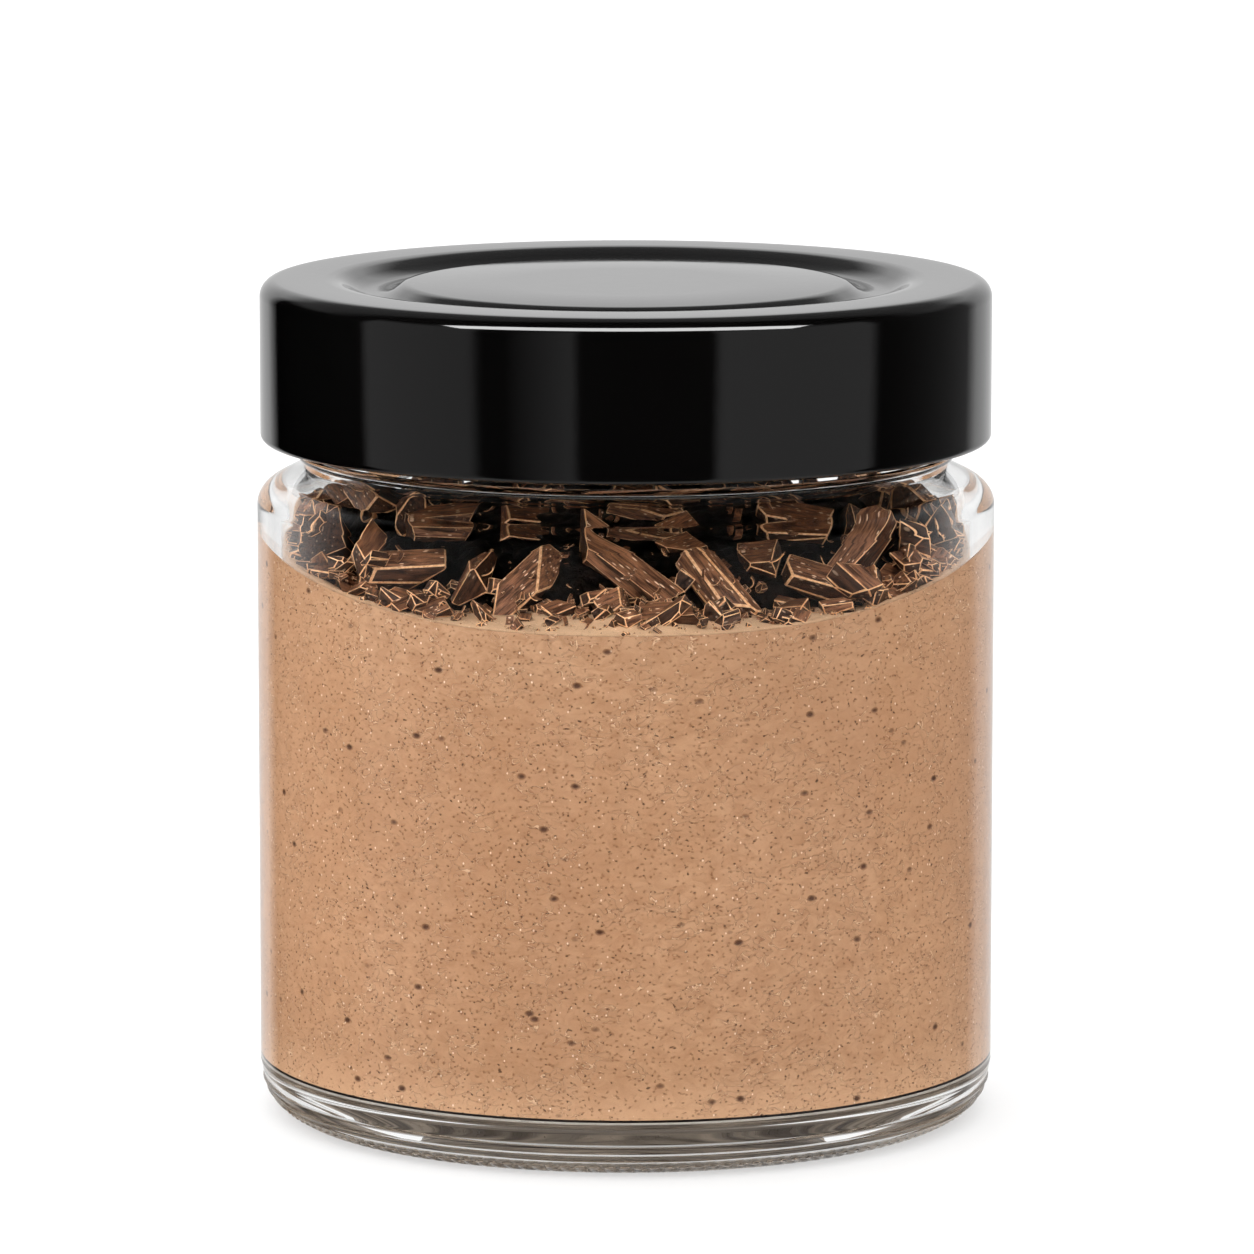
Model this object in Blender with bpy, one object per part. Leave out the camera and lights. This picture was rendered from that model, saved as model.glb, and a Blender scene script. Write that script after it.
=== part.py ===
"""A straight-sided glass jar of chocolate mousse under a heap of broken dark chocolate, shut by a deep black lid.

Four solids share one upright axis: the hollow jar, the lid over its neck, the mousse that fills it,
and the heap of shards. Units are metres, +Z is up, and the origin is the middle of the foot.
"""

import math
import random

import bmesh
import bpy
from mathutils import Euler, Matrix, Vector, noise

MM = 0.001
TURNS = 64
GAP = 0.3 * MM
WELD = 0.001 * MM

# Jar, outside
BODY_RADIUS = 37.0 * MM
FOOT_INNER_RADIUS = 31.2 * MM
FOOT_RADIUS = 33.0 * MM
PUNT_HEIGHT = 3.6 * MM
PUNT_SHARES = ((0.62, 0.9), (0.84, 0.66))
HEEL_HEIGHT = 6.0 * MM
SHOULDER_START = 61.6 * MM
SHOULDER_DEPTH = 4.0 * MM
SHOULDER_RISE = 3.0 * MM
SHOULDER_SLOPE = 0.5
NECK_RADIUS = 32.2 * MM
BEAD_RADIUS = 33.0 * MM
BEAD_BOTTOM = 66.2 * MM
BEAD_TOP = 67.2 * MM
BEAD_CORNER = 0.28 * MM
RIM_TOP = 83.3 * MM

# Jar, inside
WALL = 2.4 * MM
INNER_RADIUS = BODY_RADIUS - WALL
INNER_SHOULDER_START = 61.4 * MM
INNER_SHOULDER_DEPTH = 3.4 * MM
INNER_SHOULDER_RISE = 1.9 * MM
NECK_INNER_RADIUS = NECK_RADIUS - WALL
FLOOR_EDGE = 5.2 * MM
FLOOR_MIDDLE = 6.0 * MM
FLOOR_CORNER = 0.6 * MM

# Lid
LID_RADIUS = 36.65 * MM
LID_TOP = 84.2 * MM
LID_BOTTOM = 68.1 * MM
LID_CORNER = 1.7 * MM
SHEET = 0.5 * MM
CURL = 0.7 * MM
CURL_RISE = 1.54 * MM
RING_INNER_RADIUS = 28.8 * MM
CHANNEL_OUTER_RADIUS = 26.4 * MM
CHANNEL_INNER_RADIUS = 24.0 * MM
CHANNEL_DEPTH = 1.5 * MM
PANEL_RADIUS = 22.2 * MM
PANEL_DEPTH = 0.45 * MM

# Filling
MOUSSE_TOP = 53.7 * MM
RISE_START = 28.5 * MM
SIDE_RISE = 4.5 * MM
EDGE_RISE = 1.0 * MM
RIM_CLEARANCE = 0.5 * MM
STAGGER = 0.05 * MM
CORE_RADIUS = 27.5 * MM
CORE_BACK = 2.5 * MM
CORE_HEIGHT = 4.2 * MM
CORE_INSETS = (0.14, 0.3, 0.3)
CORE_PEAK = 5.0 * MM
CORE_EDGE_DROP = 1.6 * MM
CORE_LUMP = 1.3 * MM
LUMP_SPACING = 7.0 * MM
HEAP_TOP = 66.4 * MM
PRISM_SIDES = 5
SHARD_CLEARANCE = 0.4 * MM
UNDER_SHOULDER = 0.85 * MM
SHOULDER_LEAN = 1.35
SMALLEST_END = 0.72
SKEW = 0.16
UNEVEN_END = 0.1
PULL_IN = 1.15


def arc(centre, radii, start, end, steps):
    """Points (radius, height) along an ellipse about centre, from one angle in degrees to another."""
    points = []
    for step in range(steps + 1):
        angle = math.radians(start + (end - start) * step / steps)
        points.append((centre[0] + radii[0] * math.cos(angle), centre[1] + radii[1] * math.sin(angle)))
    return points


def shoulder(radius, start, depth, rise, neck_radius, steps):
    """The rounded shoulder from the body's wall up to the neck: an elliptical turn, then a straight slope."""
    turn = math.degrees(math.atan(rise / (depth * SHOULDER_SLOPE)))
    points = arc((radius - depth, start), (depth, rise), 0, turn, steps)
    last = points[-1]
    points.append((neck_radius, last[1] + (last[0] - neck_radius) * SHOULDER_SLOPE))
    return points


def make_material(name, colour, roughness, metallic=0.0, transmission=0.0):
    material = bpy.data.materials.new(name)
    material.use_nodes = True
    shader = material.node_tree.nodes["Principled BSDF"]
    shader.inputs["Base Color"].default_value = (*colour, 1.0)
    shader.inputs["Roughness"].default_value = roughness
    shader.inputs["Metallic"].default_value = metallic
    shader.inputs["Transmission Weight"].default_value = transmission
    return material


def add_object(name, mesh, material):
    thing = bpy.data.objects.new(name, mesh)
    bpy.context.scene.collection.objects.link(thing)
    mesh.materials.clear()
    mesh.materials.append(material)
    mesh.shade_smooth()
    mesh.set_sharp_from_angle(angle=math.radians(35))
    return thing


def turned(name, profile, material):
    """A solid turned about the Z axis from a profile of (radius, height) that starts and ends on the axis."""
    shape = bmesh.new()
    points = [shape.verts.new((radius, 0.0, height)) for radius, height in profile]
    lines = [shape.edges.new(pair) for pair in zip(points, points[1:])]
    bmesh.ops.spin(
        shape,
        geom=points + lines,
        cent=(0, 0, 0),
        axis=(0, 0, 1),
        angle=math.tau,
        steps=TURNS,
        use_merge=True,
    )
    bmesh.ops.remove_doubles(shape, verts=shape.verts, dist=WELD)
    bmesh.ops.recalc_face_normals(shape, faces=shape.faces)
    mesh = bpy.data.meshes.new(name)
    shape.to_mesh(mesh)
    shape.free()
    return add_object(name, mesh, material)


def make_jar(material):
    """One piece of clear glass: pushed-up foot, rounded heel, straight wall, shoulder, neck with a bead, rim."""
    foot = [(0.0, PUNT_HEIGHT)] + [(FOOT_INNER_RADIUS * out, PUNT_HEIGHT * up) for out, up in PUNT_SHARES]
    foot += [(FOOT_INNER_RADIUS, 0.0), (FOOT_RADIUS, 0.0)]
    heel = arc((FOOT_RADIUS, HEEL_HEIGHT), (BODY_RADIUS - FOOT_RADIUS, HEEL_HEIGHT), -75, 0, 5)
    outer_shoulder = shoulder(BODY_RADIUS, SHOULDER_START, SHOULDER_DEPTH, SHOULDER_RISE, NECK_RADIUS, 4)
    bead = [
        (NECK_RADIUS, BEAD_BOTTOM),
        (BEAD_RADIUS, BEAD_BOTTOM + BEAD_CORNER),
        (BEAD_RADIUS, BEAD_TOP - BEAD_CORNER),
        (NECK_RADIUS, BEAD_TOP),
    ]
    half_rim = WALL / 2
    rim = arc((NECK_RADIUS - half_rim, RIM_TOP - half_rim), (half_rim, half_rim), 0, 180, 6)
    inner_shoulder = shoulder(
        INNER_RADIUS, INNER_SHOULDER_START, INNER_SHOULDER_DEPTH, INNER_SHOULDER_RISE, NECK_INNER_RADIUS, 3
    )
    corner_centre = (INNER_RADIUS - FLOOR_CORNER, FLOOR_EDGE + FLOOR_CORNER)
    corner = arc(corner_centre, (FLOOR_CORNER, FLOOR_CORNER), 0, -90, 3)
    floor = [(0.0, FLOOR_MIDDLE)]
    profile = foot + heel + outer_shoulder + bead + rim + inner_shoulder[::-1] + corner + floor
    return turned("jar", profile, material)


def make_lid(material):
    """A deep cap drawn from one thin sheet: stepped top, rounded corner, straight skirt, rolled bottom edge."""
    panel = LID_TOP - PANEL_DEPTH
    channel = LID_TOP - CHANNEL_DEPTH
    corner_centre = (LID_RADIUS - LID_CORNER, LID_TOP - LID_CORNER)
    top = [
        (0.0, panel),
        (PANEL_RADIUS, panel),
        (CHANNEL_INNER_RADIUS, channel),
        (CHANNEL_OUTER_RADIUS, channel),
        (RING_INNER_RADIUS, LID_TOP),
    ]
    corner = arc(corner_centre, (LID_CORNER, LID_CORNER), 90, 0, 4)
    curl = arc((LID_RADIUS - CURL, LID_BOTTOM + CURL), (CURL, CURL), 0, -180, 6)
    skirt = [(LID_RADIUS - SHEET, LID_BOTTOM + CURL_RISE)]
    inner = LID_CORNER - SHEET
    inner_corner = arc(corner_centre, (inner, inner), 0, 90, 2)
    underside = [
        (RING_INNER_RADIUS + SHEET, LID_TOP - SHEET),
        (CHANNEL_OUTER_RADIUS + SHEET * 0.5, channel - SHEET),
        (CHANNEL_INNER_RADIUS - SHEET * 0.5, channel - SHEET),
        (PANEL_RADIUS - SHEET * 0.5, panel - SHEET),
        (0.0, panel - SHEET),
    ]
    return turned("lid", top + corner + curl + skirt + inner_corner + underside, material)


def mousse_rise(right, back):
    """How far the mousse stands above its level middle: it was spooned up the glass at both sides."""
    reach = math.hypot(right, back)
    if reach <= RISE_START:
        return 0.0
    aside = abs(right) / reach
    share = (reach - RISE_START) / (INNER_RADIUS - RISE_START)
    return (SIDE_RISE * aside**3 + EDGE_RISE * aside**14) * share


def make_mousse(material):
    """The mousse, level in the middle and risen at both sides, a hair clear of the glass."""
    radius = INNER_RADIUS - GAP
    bottom = FLOOR_EDGE + GAP
    corner = arc((INNER_RADIUS - FLOOR_CORNER, bottom + FLOOR_CORNER), (FLOOR_CORNER - GAP, FLOOR_CORNER), -90, 0, 3)
    surface = [(radius, MOUSSE_TOP), (RISE_START, MOUSSE_TOP), (0.0, MOUSSE_TOP)]
    mousse = turned("mousse", [(0.0, FLOOR_MIDDLE + GAP)] + corner + surface, material)
    shape = bmesh.new()
    shape.from_mesh(mousse.data)
    bmesh.ops.triangulate(shape, faces=shape.faces)
    for point in shape.verts:
        if point.co.z > MOUSSE_TOP - WELD:
            point.co.z += mousse_rise(point.co.x, point.co.y)
    shape.to_mesh(mousse.data)
    shape.free()
    return mousse


def room_radius(height):
    """How far from the axis a shard may reach at this height, inside the wall and under the shoulder."""
    above = max(0.0, height - INNER_SHOULDER_START + UNDER_SHOULDER)
    return INNER_RADIUS - SHARD_CLEARANCE - above * SHOULDER_LEAN


def shard_shape(size, seed):
    """A broken sliver of chocolate as a five-sided prism with skewed, uneven ends. Size is length, width, thickness."""
    draw = random.Random(seed)
    length, width, thickness = size
    corners = []
    for end in (-0.5, 0.5):
        taper = draw.uniform(SMALLEST_END, 1.0)
        skew = draw.uniform(-SKEW, SKEW)
        for side in range(PRISM_SIDES):
            angle = math.tau * (side + 0.25) / PRISM_SIDES
            across = math.cos(angle) * width / 2 * taper
            up = math.sin(angle) * thickness / 2 * taper
            along = end * length * (1 + draw.uniform(-UNEVEN_END, UNEVEN_END)) + skew * across * 2
            corners.append(Vector((along, across, up)))
    return corners


def placed_shard(size, place, heading, rise, roll, seed):
    """The shard's corners at its place, kept under the heap's top, above the mousse and clear of the glass."""
    turn = Euler((math.radians(roll), math.radians(-rise), math.radians(heading)), "XYZ").to_matrix()
    corners = [turn @ corner + Vector(place) for corner in shard_shape(size, seed)]
    drop = max(0.0, max(corner.z for corner in corners) - HEAP_TOP)
    for corner in corners:
        rise = mousse_rise(corner.x, corner.y)
        lowest = MOUSSE_TOP + rise + GAP + (RIM_CLEARANCE if rise else 0.0) + STAGGER * (seed % 5)
        corner.z = max(corner.z - drop, lowest)
    excess = max(corner.xy.length - room_radius(corner.z) for corner in corners)
    if excess > 0:
        outward = Vector((place[0], place[1], 0)).normalized()
        corners = [corner - outward * excess * PULL_IN for corner in corners]
    return corners


def shard_mesh(corners):
    """The closed prism between two rings of corners."""
    shape = bmesh.new()
    points = [shape.verts.new(corner) for corner in corners]
    bmesh.ops.convex_hull(shape, input=points)
    unused = [point for point in shape.verts if not point.link_faces]
    bmesh.ops.delete(shape, geom=unused, context="VERTS")
    bmesh.ops.recalc_face_normals(shape, faces=shape.faces)
    mesh = bpy.data.meshes.new("shard")
    shape.to_mesh(mesh)
    shape.free()
    return mesh


# The shards that show from the front, left to right: length, width and thickness, then place
# (right, back from the axis, up from the mousse), then heading, rise and roll in degrees.
FRONT_SHARDS = (
    ((6.6, 3.4, 2.4), (-29.6, -12.0, 2.6), 64, 10, 30),
    ((6.4, 3.6, 2.2), (-27.2, -18.6, 1.4), 34, -24, 50),
    ((8.6, 3.2, 3.0), (-21.8, -19.4, 3.9), 2, 2, 34),
    ((4.0, 2.8, 2.2), (-18.6, -25.6, 1.0), 20, 22, 38),
    ((6.0, 3.6, 2.4), (-14.6, -21.0, 3.2), -24, 62, 30),
    ((9.6, 3.4, 2.8), (-9.6, -22.6, 2.9), 26, 38, 44),
    ((13.4, 3.4, 2.8), (-0.6, -21.8, 4.8), -30, -32, 40),
    ((4.4, 3.2, 2.4), (-1.4, -27.2, 1.1), 14, 24, 40),
    ((6.0, 3.0, 2.4), (4.4, -29.6, 1.1), -4, 6, 30),
    ((9.6, 3.8, 2.8), (8.8, -23.6, 3.1), -44, -40, 40),
    ((4.8, 4.0, 2.8), (12.8, -19.0, 4.9), -10, 6, 28),
    ((9.2, 3.0, 3.0), (18.6, -20.8, 2.9), -20, -14, 40),
    ((8.2, 3.0, 2.8), (22.5, -17.0, 5.2), 36, 44, 40),
    ((4.8, 3.2, 2.2), (25.4, -20.6, 1.2), 40, -10, 36),
    ((8.0, 3.0, 2.4), (28.4, -14.2, 3.4), 62, -10, 40),
    ((8.4, 3.8, 2.0), (-18.6, -12.4, 7.2), -8, 6, 20),
    ((6.6, 3.6, 2.0), (-9.6, -13.0, 7.2), 14, -8, 22),
    ((4.6, 3.6, 2.6), (5.4, -18.0, 6.2), 30, 20, 32),
    ((7.8, 3.2, 2.2), (2.0, -13.0, 7.8), -16, -14, 28),
    ((8.2, 3.8, 2.2), (16.4, -13.0, 7.2), -6, -10, 26),
)
SCATTERED_SHARDS = 92
SCATTER_REACH = 32.5
SCATTER_SIZES = ((6.0, 11.5), (3.4, 5.0), (2.2, 3.4))
SCATTER_UP = (7.0, 11.0)
SCATTER_FALL = 0.12
SCATTER_FLAT = 8.0
SCATTER_TURNS = ((-50, 50), (-42, 42), (10, 60))
GOLDEN_ANGLE = 137.508
FRONT_REACH = 11.0


def scattered_shards(seed):
    """The rest of the heap on a sunflower spiral, wherever the front shards leave room."""
    draw = random.Random(seed)
    found = []
    for number in range(SCATTERED_SHARDS):
        reach = SCATTER_REACH * math.sqrt((number + 0.5) / SCATTERED_SHARDS)
        angle = math.radians(number * GOLDEN_ANGLE)
        right, back = reach * math.cos(angle), reach * math.sin(angle)
        size = [draw.uniform(*limits) for limits in SCATTER_SIZES]
        up = draw.uniform(*SCATTER_UP) - SCATTER_FALL * max(0.0, reach - SCATTER_FLAT)
        heading, rise, roll = [draw.uniform(*limits) for limits in SCATTER_TURNS]
        if back > -FRONT_REACH:
            found.append((size, (right, back, up), math.degrees(angle) + 90 + heading, rise, roll))
    return found


def make_core(name):
    """The uneven mound that the shards lie in and on, set back a little from the front of the jar."""
    bpy.ops.mesh.primitive_cylinder_add(vertices=28, radius=CORE_RADIUS, depth=CORE_HEIGHT)
    core = bpy.context.object
    core.name = name
    shape = bmesh.new()
    shape.from_mesh(core.data)
    upper_faces = [face for face in shape.faces if face.normal.z > 0.9]
    for share in CORE_INSETS:
        bmesh.ops.inset_individual(shape, faces=upper_faces, thickness=CORE_RADIUS * share)
    for point in shape.verts:
        reach = point.co.xy.length / CORE_RADIUS
        if point.co.z > 0:
            lump = CORE_LUMP * noise.noise(point.co / LUMP_SPACING)
            point.co.z += CORE_PEAK * (1 - reach**2) - CORE_EDGE_DROP * reach**4 + lump
    shape.to_mesh(core.data)
    shape.free()
    core.data.transform(Matrix.Translation((0, CORE_BACK, MOUSSE_TOP + GAP + CORE_HEIGHT / 2)))
    return core


def make_heap(material):
    """The heap of chocolate as one solid: every shard joined to the core by one union."""
    heap = make_core("chocolate_shards")
    loose = bpy.data.collections.new("loose shards")
    bpy.context.scene.collection.children.link(loose)
    everything = list(FRONT_SHARDS) + scattered_shards(seed=7)
    for number, (size, place, heading, rise, roll) in enumerate(everything):
        metres = [side * MM for side in size]
        spot = (place[0] * MM, place[1] * MM, MOUSSE_TOP + place[2] * MM)
        corners = placed_shard(metres, spot, heading, rise, roll, seed=number)
        loose.objects.link(bpy.data.objects.new(f"shard_{number:02d}", shard_mesh(corners)))
    join = heap.modifiers.new("join", "BOOLEAN")
    join.operation = "UNION"
    join.operand_type = "COLLECTION"
    join.collection = loose
    join.solver = "MANIFOLD"
    bpy.context.view_layer.update()
    graph = bpy.context.evaluated_depsgraph_get()
    joined = bpy.data.meshes.new_from_object(heap.evaluated_get(graph))
    heap.modifiers.clear()
    heap.data = joined
    for shard in list(loose.objects):
        bpy.data.objects.remove(shard)
    bpy.data.collections.remove(loose)
    joined.materials.clear()
    joined.materials.append(material)
    return heap


def keep_one_body(thing):
    """Deletes scraps that the union left apart from the largest body."""
    shape = bmesh.new()
    shape.from_mesh(thing.data)
    bmesh.ops.remove_doubles(shape, verts=shape.verts, dist=WELD)
    unseen = set(shape.verts)
    bodies = []
    while unseen:
        body = set()
        front = [unseen.pop()]
        while front:
            point = front.pop()
            body.add(point)
            for edge in point.link_edges:
                other = edge.other_vert(point)
                if other in unseen:
                    unseen.remove(other)
                    front.append(other)
        bodies.append(body)
    bodies.sort(key=len)
    for body in bodies[:-1]:
        bmesh.ops.delete(shape, geom=list(body), context="VERTS")
    shape.to_mesh(thing.data)
    shape.free()


def main():
    for thing in list(bpy.data.objects):
        bpy.data.objects.remove(thing)
    glass = make_material("clear glass", (0.95, 0.97, 0.96), 0.02, transmission=1.0)
    lacquer = make_material("black lacquered tinplate", (0.008, 0.008, 0.009), 0.12, metallic=0.2)
    mousse = make_material("chocolate mousse", (0.50, 0.26, 0.14), 0.55)
    chocolate = make_material("dark chocolate", (0.09, 0.035, 0.018), 0.4)
    make_jar(glass)
    make_lid(lacquer)
    make_mousse(mousse)
    keep_one_body(make_heap(chocolate))


main()
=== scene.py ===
"""Looks of the jar of chocolate mousse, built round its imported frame: glass, mousse, chocolate and cap."""

import math
import random

import bpy
from mathutils import Euler, Matrix, Vector, noise
from mathutils.bvhtree import BVHTree


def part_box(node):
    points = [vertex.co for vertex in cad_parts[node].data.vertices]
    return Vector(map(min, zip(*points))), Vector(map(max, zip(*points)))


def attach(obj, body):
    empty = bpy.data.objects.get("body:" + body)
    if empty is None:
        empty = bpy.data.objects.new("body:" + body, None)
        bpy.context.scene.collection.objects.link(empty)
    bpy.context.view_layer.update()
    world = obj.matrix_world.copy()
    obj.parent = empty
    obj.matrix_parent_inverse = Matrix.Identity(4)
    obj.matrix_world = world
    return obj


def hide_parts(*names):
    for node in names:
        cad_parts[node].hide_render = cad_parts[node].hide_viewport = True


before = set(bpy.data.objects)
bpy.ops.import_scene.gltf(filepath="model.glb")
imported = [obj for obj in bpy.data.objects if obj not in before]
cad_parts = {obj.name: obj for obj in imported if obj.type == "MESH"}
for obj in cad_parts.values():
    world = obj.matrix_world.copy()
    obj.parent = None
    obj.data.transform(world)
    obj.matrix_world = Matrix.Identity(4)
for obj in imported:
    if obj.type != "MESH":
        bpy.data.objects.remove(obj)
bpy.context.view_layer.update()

# The glass jar. Real piece: clear flint glass, blown and pressed, with a pushed-up base, a ring that it
# stands on, a rounded heel and shoulder, and a short neck with a bead. Turned here from one half outline.
MM = 0.001
JAR_SIDES = 600
jar_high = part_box("jar")[1]

BODY = jar_high.x / MM
RIM_TOP = jar_high.z / MM
WALL = 2.4
INNER = BODY - WALL
FOOT_INNER = 31.2
FOOT = 33.0
PUNT = 3.6
HEEL = 6.0
SHOULDER_START = 61.6
SHOULDER_SLOPE = 0.5
NECK = 32.2
NECK_INNER = NECK - WALL
BEAD = 33.0
BEAD_HEIGHT = 66.7
FLOOR_EDGE = 5.2
FLOOR_MIDDLE = 6.0
FLOOR_CORNER = 0.6


def arc(centre, radii, start, end, steps):
    """Points (radius, height) along an ellipse about centre, from one angle in degrees to another."""
    angles = [math.radians(start + (end - start) * step / steps) for step in range(steps + 1)]
    return [(centre[0] + radii[0] * math.cos(a), centre[1] + radii[1] * math.sin(a)) for a in angles]


def shoulder(radius, start, depth, rise, neck, steps):
    """An elliptical turn from the wall into a straight slope, with a small hollow against the neck."""
    turn = math.degrees(math.atan(rise / (depth * SHOULDER_SLOPE)))
    points = arc((radius - depth, start), (depth, rise), 0, turn, steps)
    last = points[-1]
    corner = (neck, last[1] + (last[0] - neck) * SHOULDER_SLOPE)
    points.append((neck + 0.5, corner[1] - 0.5 * SHOULDER_SLOPE))
    points.append((neck + 0.12, corner[1] - 0.02))
    points.append((neck, corner[1] + 0.4))
    return points


def turned(name, outline, sides):
    """Draws half the outline point by point, in millimetres, and spins it round the jar's axis."""
    bpy.ops.object.select_all(action="DESELECT")
    bpy.ops.mesh.primitive_plane_add(size=MM)
    piece = bpy.context.object
    piece.name = piece.data.name = name
    bpy.ops.object.mode_set(mode="EDIT")
    bpy.ops.mesh.merge(type="CENTER")
    bpy.ops.transform.translate(value=(outline[0][0] * MM, 0, outline[0][1] * MM))
    for (radius, height), (next_radius, next_height) in zip(outline, outline[1:]):
        step = ((next_radius - radius) * MM, 0, (next_height - height) * MM)
        bpy.ops.mesh.extrude_region_move(TRANSFORM_OT_translate={"value": step})
    bpy.ops.mesh.select_all(action="SELECT")
    bpy.ops.mesh.spin(steps=sides, angle=math.tau, center=(0, 0, 0), axis=(0, 0, 1))
    bpy.ops.mesh.select_all(action="SELECT")
    bpy.ops.mesh.remove_doubles(threshold=0.002 * MM)
    bpy.ops.mesh.normals_make_consistent(inside=False)
    bpy.ops.object.mode_set(mode="OBJECT")
    bpy.ops.object.shade_smooth_by_angle(angle=math.radians(40))
    return piece


foot = [(0.0, PUNT), (8.0, PUNT - 0.04), (16.0, PUNT - 0.2), (23.0, PUNT - 0.6), (27.5, PUNT - 1.2)]
foot += arc((FOOT_INNER, 0.35), (1.2, 0.35), 180, 270, 4)

# The heel carries fine raised rings: (height, how far each stands out), in millimetres.
HEEL_RINGS = ((0.8, 0.12), (1.5, 0.2), (2.3, 0.26), (3.3, 0.2), (5.1, 0.06))
RING_HALF = 0.15


def heel_radius(height):
    """The radius of the heel's elliptical turn at a height, with its raised rings."""
    radius = FOOT + (BODY - FOOT) * math.sqrt(1 - ((HEEL - height) / HEEL) ** 2)
    for middle, out in HEEL_RINGS:
        radius += out * max(0.0, 1 - abs(height - middle) / RING_HALF)
    return min(radius, BODY)


heel_heights = [0.04, 0.15, 0.35, 0.6, 1.2, 1.85, 2.5, 3.1, 3.7, 4.1, 4.5, 5.2, 5.6, 6.0]
heel_heights += [middle + side for middle, out in HEEL_RINGS for side in (-RING_HALF, 0, RING_HALF)]
heel = [(FOOT - 0.4, 0.0)] + [(heel_radius(height), height) for height in sorted(heel_heights)]
outer_shoulder = shoulder(BODY, SHOULDER_START, 4.0, 3.0, NECK, 16)
bead = arc((NECK, BEAD_HEIGHT), (BEAD - NECK, 0.5), -90, 90, 10)
rim = arc((NECK - WALL / 2, RIM_TOP - WALL / 2), (WALL / 2, WALL / 2), 0, 180, 12)
inner_shoulder = shoulder(INNER, SHOULDER_START - 0.2, 3.4, 1.9, NECK_INNER, 16)
corner_centre = (INNER - FLOOR_CORNER, FLOOR_EDGE + FLOOR_CORNER)
floor_corner = arc(corner_centre, (FLOOR_CORNER, FLOOR_CORNER), 0, -90, 10)
inside = inner_shoulder[::-1] + floor_corner + [(16.0, FLOOR_MIDDLE - 0.1), (0.0, FLOOR_MIDDLE)]
jar = turned("glass_jar", foot + heel + outer_shoulder + bead + rim + inside, JAR_SIDES)

# Small slanting marks are pressed into the heel just above the bearing ring.
KNURLS = JAR_SIDES // 4
KNURL_DEPTH = 0.6
KNURL_TOP = 1.3
for point in jar.data.vertices:
    reach, height = point.co.xy.length / MM, point.co.z / MM
    if 0.1 < height < KNURL_TOP and reach > FOOT:
        wave = math.sin(KNURLS * math.atan2(point.co.y, point.co.x) + 3.4 * height)
        share = 1 - KNURL_DEPTH * max(0.0, wave) * math.sin(math.pi * height / KNURL_TOP) / reach
        point.co.x, point.co.y = point.co.x * share, point.co.y * share


class Recipe:
    """A node material for one finish: adds and links shader nodes."""

    def __init__(self, name):
        self.material = bpy.data.materials.new(name)
        self.material.use_nodes = True
        self.tree = self.material.node_tree
        self.shader = self.tree.nodes["Principled BSDF"]

    def node(self, kind, **settings):
        made = self.tree.nodes.new(kind)
        for key, value in settings.items():
            setattr(made, key, value)
        return made

    def link(self, source, target):
        self.tree.links.new(source, target)

    def set(self, **values):
        """Values that are the same all over go straight on the shader's sockets."""
        for key, value in values.items():
            self.shader.inputs[key.replace("_", " ")].default_value = value

    def place(self, scale=(1, 1, 1), attribute=None):
        """Millimetres along the piece, or along an attribute of it, stretched by scale."""
        if attribute:
            source = self.node("ShaderNodeAttribute", attribute_name=attribute).outputs["Vector"]
        else:
            source = self.node("ShaderNodeTexCoord").outputs["Object"]
        mapping = self.node("ShaderNodeMapping")
        mapping.inputs["Scale"].default_value = [1 / MM * side for side in scale]
        self.link(source, mapping.inputs["Vector"])
        return mapping.outputs["Vector"]

    def noise(self, vector, per_mm, detail=3.0, roughness=0.5, distortion=0.0):
        made = self.node("ShaderNodeTexNoise")
        made.inputs["Scale"].default_value = per_mm
        made.inputs["Detail"].default_value = detail
        made.inputs["Roughness"].default_value = roughness
        made.inputs["Distortion"].default_value = distortion
        self.link(vector, made.inputs["Vector"])
        return made.outputs["Fac"]

    def cells(self, vector, per_mm, feature="F1"):
        made = self.node("ShaderNodeTexVoronoi", feature=feature)
        made.inputs["Scale"].default_value = per_mm
        self.link(vector, made.inputs["Vector"])
        return made

    def spread(self, value, low, high, to_low=0.0, to_high=1.0):
        """Maps the stretch low to high of a value onto another stretch, clamped."""
        made = self.node("ShaderNodeMapRange")
        for socket, number in zip(("From Min", "From Max", "To Min", "To Max"), (low, high, to_low, to_high)):
            made.inputs[socket].default_value = number
        self.link(value, made.inputs["Value"])
        return made.outputs["Result"]

    def math(self, operation, first, second):
        made = self.node("ShaderNodeMath", operation=operation)
        for socket, value in zip(made.inputs, (first, second)):
            if isinstance(value, (int, float)):
                socket.default_value = value
            else:
                self.link(value, socket)
        return made.outputs["Value"]

    def mix(self, share, first, second, blend="MIX"):
        made = self.node("ShaderNodeMix", data_type="RGBA", blend_type=blend)
        for socket, value in ((made.inputs[0], share), (made.inputs[6], first), (made.inputs[7], second)):
            if isinstance(value, (int, float)):
                socket.default_value = value
            elif isinstance(value, tuple):
                socket.default_value = (*value, 1.0)
            else:
                self.link(value, socket)
        return made.outputs[2]

    def bump(self, height, depth_mm, below=None):
        made = self.node("ShaderNodeBump")
        made.inputs["Distance"].default_value = depth_mm * MM
        self.link(height, made.inputs["Height"])
        if below is not None:
            self.link(below, made.inputs["Normal"])
        return made.outputs["Normal"]

    def finish(self, colour=None, roughness=None, normal=None):
        for socket, value in (("Base Color", colour), ("Roughness", roughness), ("Normal", normal)):
            if value is not None:
                self.link(value, self.shader.inputs[socket])
        return self.material


def srgb(red, green, blue):
    """A colour as the eye reads it, 0 to 255, turned into light for the shader."""
    shares = [side / 255 for side in (red, green, blue)]
    return tuple(s / 12.92 if s <= 0.04045 else ((s + 0.055) / 1.055) ** 2.4 for s in shares)


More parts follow.
